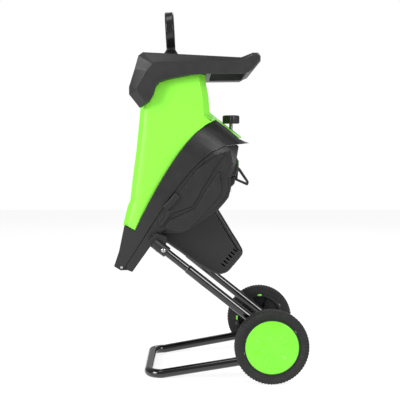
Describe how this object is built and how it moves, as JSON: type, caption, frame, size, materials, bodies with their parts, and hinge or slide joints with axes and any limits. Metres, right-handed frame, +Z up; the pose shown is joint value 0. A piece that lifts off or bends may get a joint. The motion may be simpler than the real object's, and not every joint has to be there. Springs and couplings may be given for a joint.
{
  "type": "wood chipper",
  "caption": "Wheeled electric wood chipper: green feed hopper hinged over a tilted cutter disc, on a black tube stand with two wheels, transport handle and push stick.",
  "frame": {"origin": "on the ground, under the middle of the machine's overall box", "axes": "+Z up, +X towards the wheels and handle, +Y to the machine's right-hand side"},
  "size_m": [0.47, 0.422, 0.9051],
  "materials": {
    "green_shell": "satin moulded plastic",
    "black_body": "fine satin texture",
    "black_collar": "satin",
    "gloss_tube": "gloss powder coat",
    "tyre_rubber": "matt",
    "rim_plastic": "matt",
    "cap_green": "satin",
    "zinc": "bright zinc plate",
    "steel": "ground",
    "alloy": "die cast",
    "copper": "enamelled winding",
    "button_green": "gloss",
    "button_red": "gloss",
    "button_black": "gloss"
  },
  "bodies": {
    "base": {"stand_tube": "gloss_tube", "left_leg": "gloss_tube", "right_leg": "gloss_tube", "left_axle_bracket": "gloss_tube", "right_axle_bracket": "gloss_tube", "axle_rod": "zinc", "left_push_nut": "zinc", "right_push_nut": "zinc", "left_axle_spacer": "rim_plastic", "right_axle_spacer": "rim_plastic", "lower_casing": "black_body", "left_leg_screw": "zinc", "right_leg_screw": "zinc", "left_hinge_pin": "zinc", "right_hinge_pin": "zinc", "left_side_cover": "black_body", "right_side_cover": "black_body", "left_bag_hook": "black_body", "right_bag_hook": "black_body", "motor_box": "black_body", "motor_box_cover": "black_body", "switch_box": "black_body", "power_inlet": "black_body", "cable_hook": "black_body", "upper_bearing": "steel", "lower_bearing": "steel", "gear_plate": "alloy", "gearbox_cup": "alloy", "motor_rear_bearing": "steel", "stator": "copper", "motor_end_bracket": "alloy", "left_brush_holder": "copper", "right_brush_holder": "copper"},
    "left_wheel": {"left_tyre": "tyre_rubber", "left_rim": "rim_plastic", "left_wheel_cap": "cap_green"},
    "right_wheel": {"right_tyre": "tyre_rubber", "right_rim": "rim_plastic", "right_wheel_cap": "cap_green"},
    "hopper": {"hopper_shell": "green_shell", "hopper_skirt": "black_body", "hopper_collar": "black_collar", "feed_funnel": "black_body", "feed_tube": "black_body", "counter_blade": "steel", "hopper_guard": "black_body"},
    "knob_carrier": {"stud_clip": "zinc"},
    "knob": {"locking_knob": "black_body", "knob_stud": "zinc"},
    "stick": {"push_stick": "black_body"},
    "cutter": {"blade_disc": "steel", "blade_1": "steel", "blade_2": "steel", "cutter_shaft": "steel", "cutter_gear": "steel"},
    "rotor": {"armature": "copper", "cooling_fan": "rim_plastic"},
    "start": {"start_button": "button_green"},
    "stop": {"stop_button": "button_red"},
    "reset": {"reset_button": "button_black"}
  },
  "joints": [
    {"name": "left_wheel_spin", "type": "hinge", "parent": "base", "child": "left_wheel", "pos_m": [0.146, -0.191, 0.089], "axis": [0, 1, 0], "continuous": true},
    {"name": "right_wheel_spin", "type": "hinge", "parent": "base", "child": "right_wheel", "pos_m": [0.146, 0.191, 0.089], "axis": [0, 1, 0], "continuous": true},
    {"name": "hopper_tilt", "type": "hinge", "parent": "base", "child": "hopper", "pos_m": [-0.216, 0, 0.268], "axis": [0, -1, 0], "range_deg": [0, 70]},
    {"name": "knob_rise", "type": "slide", "parent": "hopper", "child": "knob_carrier", "axis": [0, 0, 1], "range_m": [0, 0.0045]},
    {"name": "knob_turn", "type": "hinge", "parent": "knob_carrier", "child": "knob", "pos_m": [0.057, 0, 0.623], "axis": [0, 0, 1], "range_deg": [0, 1080]},
    {"name": "stick_slide", "type": "slide", "parent": "hopper", "child": "stick", "axis": [-0.0523, 0, 0.9986], "range_m": [0, 0.24]},
    {"name": "cutter_spin", "type": "hinge", "parent": "base", "child": "cutter", "pos_m": [-0.062, 0, 0.452], "axis": [-0.7826, 0, 0.6225], "continuous": true},
    {"name": "rotor_spin", "type": "hinge", "parent": "base", "child": "rotor", "pos_m": [-0.093, 0, 0.41303], "axis": [-0.7826, 0, 0.6225], "continuous": true},
    {"name": "start_press", "type": "slide", "parent": "base", "child": "start", "axis": [-1, 0, 0], "range_m": [0, 0.003], "stiffness_N_per_m": 300},
    {"name": "stop_press", "type": "slide", "parent": "base", "child": "stop", "axis": [-1, 0, 0], "range_m": [0, 0.003], "stiffness_N_per_m": 300},
    {"name": "reset_press", "type": "slide", "parent": "base", "child": "reset", "axis": [-1, 0, 0], "range_m": [0, 0.003], "stiffness_N_per_m": 300}
  ],
  "couplings": [
    {"joint": "rotor_spin", "follows": "cutter_spin", "ratio": -5.6},
    {"joint": "knob_rise", "follows": "knob_turn", "m_per_rad": 0.00023873}
  ]
}
